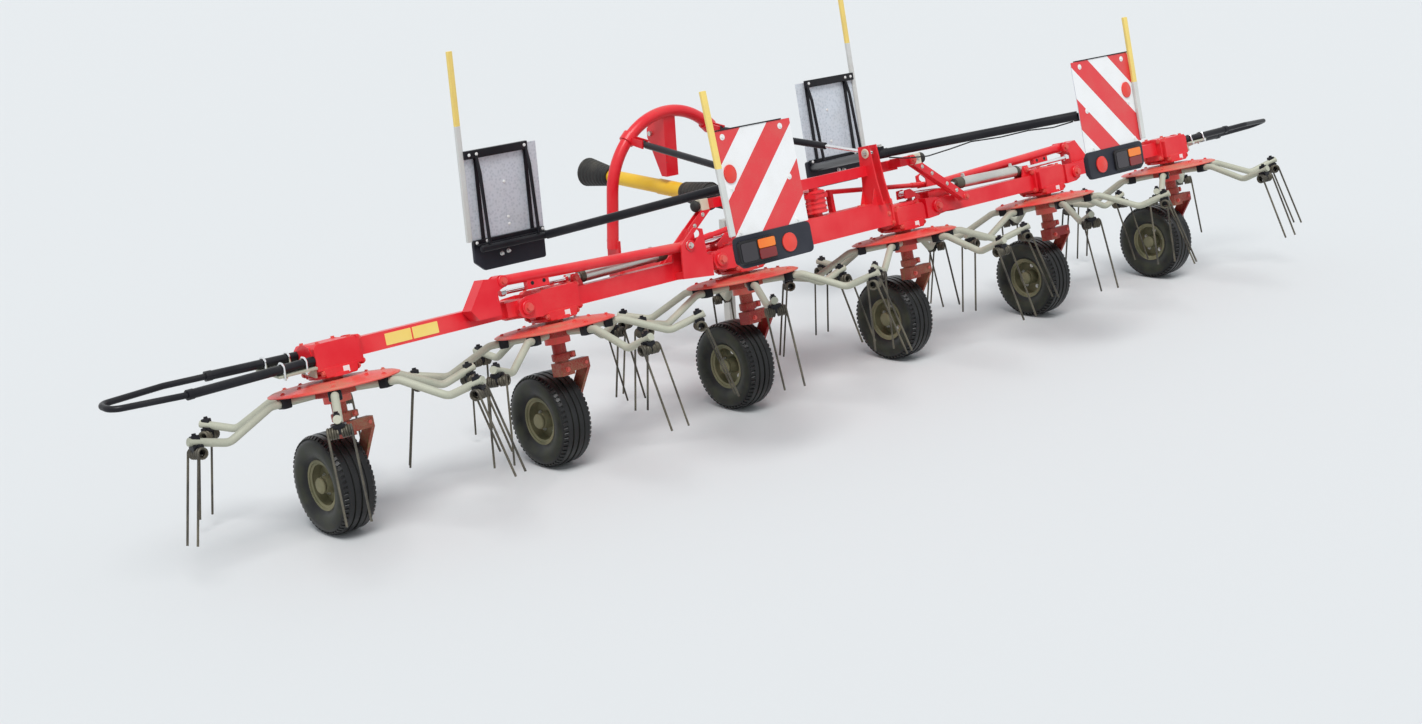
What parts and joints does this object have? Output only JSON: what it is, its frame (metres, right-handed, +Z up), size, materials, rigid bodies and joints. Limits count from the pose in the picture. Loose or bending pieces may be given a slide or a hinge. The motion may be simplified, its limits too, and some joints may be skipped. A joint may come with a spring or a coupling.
{
  "type": "hay tedder",
  "caption": "Mounted rotary hay tedder with folding wings, tine rotors over small wheels, a swinging headstock and warning panels.",
  "frame": {"origin": "on the ground, under the middle of the machine's bounding box", "axes": "+X to the machine's right, +Y the way it travels, +Z up"},
  "size_m": [7.252, 2.724, 1.7239],
  "materials": {
    "frame_red": "gloss red paint",
    "gear_red": "red paint on castings",
    "disc_red": "red paint, dusty",
    "arm_grey": "galvanised arms and dark spring steel tines",
    "leg_red": "dark red paint, dusty",
    "steel": "bare and plated steel",
    "rod_chrome": "ground and plated",
    "tyre": "black tyre rubber, damp",
    "rim": "wheel rim under grass sap",
    "black_tube": "black paint",
    "warning_sheet": "red and white stripes on sheet",
    "zinc_sheet": "galvanised sheet",
    "board": "dark grey plastic",
    "lens": "red and amber lenses",
    "pole": "white and yellow marker",
    "shaft_yellow": "yellow guard tube",
    "rubber": "black rubber"
  },
  "bodies": {
    "centre": {"centre_frame": "frame_red", "centre_gearbox": "gear_red", "transport_buffers": "rubber", "shaft_guard": "shaft_yellow", "shaft_bells": "rubber", "panel_carriers": "black_tube", "rear_panels": "warning_sheet", "front_panels": "zinc_sheet", "light_boards": "board", "lamp_lenses": "lens", "marker_poles": "pole", "centre_wheel_legs": "leg_red"},
    "headstock": {"headstock_arch": "frame_red", "drawbar_frame": "frame_red", "hitch_pins": "steel"},
    "stand": {"parking_stand": "steel"},
    "inner_wing_right": {"inner_wing_right": "frame_red", "wheel_leg_5": "leg_red"},
    "outer_wing_right": {"outer_wing_right": "frame_red", "end_guard_right": "black_tube", "wheel_leg_6": "leg_red"},
    "link_tube_right": {"link_tube_right": "frame_red"},
    "cylinder_barrel_right": {"cylinder_barrel_right": "steel"},
    "cylinder_rod_right": {"cylinder_rod_right": "rod_chrome"},
    "damper_barrel_right": {"damper_barrel_right": "black_tube"},
    "damper_rod_right": {"damper_rod_right": "rod_chrome"},
    "inner_wing_left": {"inner_wing_left": "frame_red", "wheel_leg_2": "leg_red"},
    "outer_wing_left": {"outer_wing_left": "frame_red", "end_guard_left": "black_tube", "wheel_leg_1": "leg_red"},
    "link_tube_left": {"link_tube_left": "frame_red"},
    "cylinder_barrel_left": {"cylinder_barrel_left": "steel"},
    "cylinder_rod_left": {"cylinder_rod_left": "rod_chrome"},
    "damper_barrel_left": {"damper_barrel_left": "black_tube"},
    "damper_rod_left": {"damper_rod_left": "rod_chrome"},
    "rotor_1": {"rotor_disc_1": "disc_red", "tine_arms_1": "arm_grey"},
    "wheel_1": {"tyre_1": "tyre", "rim_1": "rim"},
    "rotor_2": {"rotor_disc_2": "disc_red", "tine_arms_2": "arm_grey"},
    "wheel_2": {"tyre_2": "tyre", "rim_2": "rim"},
    "rotor_3": {"rotor_disc_3": "disc_red", "tine_arms_3": "arm_grey"},
    "wheel_3": {"tyre_3": "tyre", "rim_3": "rim"},
    "rotor_4": {"rotor_disc_4": "disc_red", "tine_arms_4": "arm_grey"},
    "wheel_4": {"tyre_4": "tyre", "rim_4": "rim"},
    "rotor_5": {"rotor_disc_5": "disc_red", "tine_arms_5": "arm_grey"},
    "wheel_5": {"tyre_5": "tyre", "rim_5": "rim"},
    "rotor_6": {"rotor_disc_6": "disc_red", "tine_arms_6": "arm_grey"},
    "wheel_6": {"tyre_6": "tyre", "rim_6": "rim"}
  },
  "joints": [
    {"name": "headstock_swing", "type": "hinge", "parent": "centre", "child": "headstock", "pos_m": [0, -0.43933, 0.87398], "axis": [0, 0.1994, 0.9799], "range_deg": [-10, 10]},
    {"name": "stand_slide", "type": "slide", "parent": "headstock", "child": "stand", "axis": [0, 0, 1], "range_m": [0, 0.25]},
    {"name": "wing_fold_right", "type": "hinge", "parent": "centre", "child": "inner_wing_right", "pos_m": [0.715, -0.46744, 0.73581], "axis": [0, -0.9799, 0.1994], "range_deg": [0, 90]},
    {"name": "wing_float_right", "type": "hinge", "parent": "inner_wing_right", "child": "outer_wing_right", "pos_m": [1.791, -0.46744, 0.73581], "axis": [0, -0.9799, 0.1994], "range_deg": [-3, 3]},
    {"name": "link_pivot_right", "type": "hinge", "parent": "outer_wing_right", "child": "link_tube_right", "pos_m": [1.898, -0.36587, 0.84883], "axis": [0, -0.9799, 0.1994], "range_deg": [-3.6, 3.6]},
    {"name": "barrel_pivot_right", "type": "hinge", "parent": "inner_wing_right", "child": "cylinder_barrel_right", "pos_m": [1.48, -0.45388, 0.80245], "axis": [0, -0.9799, 0.1994], "range_deg": [-10, 1]},
    {"name": "rod_slide_right", "type": "slide", "parent": "cylinder_barrel_right", "child": "cylinder_rod_right", "axis": [0.9997, -0.0045, -0.022], "range_m": [-0.001, 0.235]},
    {"name": "damper_pivot_right", "type": "hinge", "parent": "headstock", "child": "damper_barrel_right", "pos_m": [0.255, 0.51083, 1.122], "axis": [0, 0.1994, 0.9799], "range_deg": [-3, 3]},
    {"name": "damper_slide_right", "type": "slide", "parent": "damper_barrel_right", "child": "damper_rod_right", "axis": [0.1218, -0.9904, -0.0647], "range_m": [-0.08, 0.08]},
    {"name": "wing_fold_left", "type": "hinge", "parent": "centre", "child": "inner_wing_left", "pos_m": [-0.715, -0.46744, 0.73581], "axis": [0, 0.9799, -0.1994], "range_deg": [0, 90]},
    {"name": "wing_float_left", "type": "hinge", "parent": "inner_wing_left", "child": "outer_wing_left", "pos_m": [-1.791, -0.46744, 0.73581], "axis": [0, 0.9799, -0.1994], "range_deg": [-3, 3]},
    {"name": "link_pivot_left", "type": "hinge", "parent": "outer_wing_left", "child": "link_tube_left", "pos_m": [-1.898, -0.51678, 0.87953], "axis": [0, 0.9799, -0.1994], "range_deg": [-3.6, 3.6]},
    {"name": "barrel_pivot_left", "type": "hinge", "parent": "inner_wing_left", "child": "cylinder_barrel_left", "pos_m": [-1.48, -0.45388, 0.80245], "axis": [0, 0.9799, -0.1994], "range_deg": [-10, 1]},
    {"name": "rod_slide_left", "type": "slide", "parent": "cylinder_barrel_left", "child": "cylinder_rod_left", "axis": [-0.9997, -0.0045, -0.022], "range_m": [-0.001, 0.235]},
    {"name": "damper_pivot_left", "type": "hinge", "parent": "headstock", "child": "damper_barrel_left", "pos_m": [-0.255, 0.51083, 1.122], "axis": [0, 0.1994, 0.9799], "range_deg": [-3, 3]},
    {"name": "damper_slide_left", "type": "slide", "parent": "damper_barrel_left", "child": "damper_rod_left", "axis": [-0.1218, -0.9904, -0.0647], "range_m": [-0.08, 0.08]},
    {"name": "rotor_turn_1", "type": "hinge", "parent": "outer_wing_left", "child": "rotor_1", "pos_m": [-2.69, -0.48917, 0.629], "axis": [0, 0.1994, 0.9799], "continuous": true},
    {"name": "wheel_roll_1", "type": "hinge", "parent": "outer_wing_left", "child": "wheel_1", "pos_m": [-2.69, -0.40417, 0.205], "axis": [1, 0, 0], "continuous": true},
    {"name": "rotor_turn_2", "type": "hinge", "parent": "inner_wing_left", "child": "rotor_2", "pos_m": [-1.614, -0.48917, 0.629], "axis": [0, 0.1994, 0.9799], "continuous": true},
    {"name": "wheel_roll_2", "type": "hinge", "parent": "inner_wing_left", "child": "wheel_2", "pos_m": [-1.614, -0.40417, 0.205], "axis": [1, 0, 0], "continuous": true},
    {"name": "rotor_turn_3", "type": "hinge", "parent": "centre", "child": "rotor_3", "pos_m": [-0.538, -0.48917, 0.629], "axis": [0, 0.1994, 0.9799], "continuous": true},
    {"name": "wheel_roll_3", "type": "hinge", "parent": "centre", "child": "wheel_3", "pos_m": [-0.538, -0.40417, 0.205], "axis": [1, 0, 0], "continuous": true},
    {"name": "rotor_turn_4", "type": "hinge", "parent": "centre", "child": "rotor_4", "pos_m": [0.538, -0.48917, 0.629], "axis": [0, 0.1994, 0.9799], "continuous": true},
    {"name": "wheel_roll_4", "type": "hinge", "parent": "centre", "child": "wheel_4", "pos_m": [0.538, -0.40417, 0.205], "axis": [1, 0, 0], "continuous": true},
    {"name": "rotor_turn_5", "type": "hinge", "parent": "inner_wing_right", "child": "rotor_5", "pos_m": [1.614, -0.48917, 0.629], "axis": [0, 0.1994, 0.9799], "continuous": true},
    {"name": "wheel_roll_5", "type": "hinge", "parent": "inner_wing_right", "child": "wheel_5", "pos_m": [1.614, -0.40417, 0.205], "axis": [1, 0, 0], "continuous": true},
    {"name": "rotor_turn_6", "type": "hinge", "parent": "outer_wing_right", "child": "rotor_6", "pos_m": [2.69, -0.48917, 0.629], "axis": [0, 0.1994, 0.9799], "continuous": true},
    {"name": "wheel_roll_6", "type": "hinge", "parent": "outer_wing_right", "child": "wheel_6", "pos_m": [2.69, -0.40417, 0.205], "axis": [1, 0, 0], "continuous": true}
  ],
  "couplings": [
    {"joint": "link_pivot_right", "follows": "wing_float_right", "ratio": -1.0026},
    {"joint": "barrel_pivot_right", "follows": "wing_fold_right", "ratio": -0.04107},
    {"joint": "rod_slide_right", "follows": "wing_fold_right", "m_per_rad": 0.13538},
    {"joint": "damper_pivot_right", "follows": "headstock_swing", "ratio": -0.0891},
    {"joint": "damper_slide_right", "follows": "headstock_swing", "m_per_rad": 0.3501},
    {"joint": "link_pivot_left", "follows": "wing_float_left", "ratio": -1.0026},
    {"joint": "barrel_pivot_left", "follows": "wing_fold_left", "ratio": -0.04107},
    {"joint": "rod_slide_left", "follows": "wing_fold_left", "m_per_rad": 0.13538},
    {"joint": "damper_pivot_left", "follows": "headstock_swing", "ratio": -0.0891},
    {"joint": "damper_slide_left", "follows": "headstock_swing", "m_per_rad": -0.3501},
    {"joint": "rotor_turn_1", "follows": "rotor_turn_3", "ratio": 1},
    {"joint": "rotor_turn_2", "follows": "rotor_turn_3", "ratio": -1},
    {"joint": "rotor_turn_4", "follows": "rotor_turn_3", "ratio": -1},
    {"joint": "rotor_turn_5", "follows": "rotor_turn_3", "ratio": 1},
    {"joint": "rotor_turn_6", "follows": "rotor_turn_3", "ratio": -1}
  ]
}
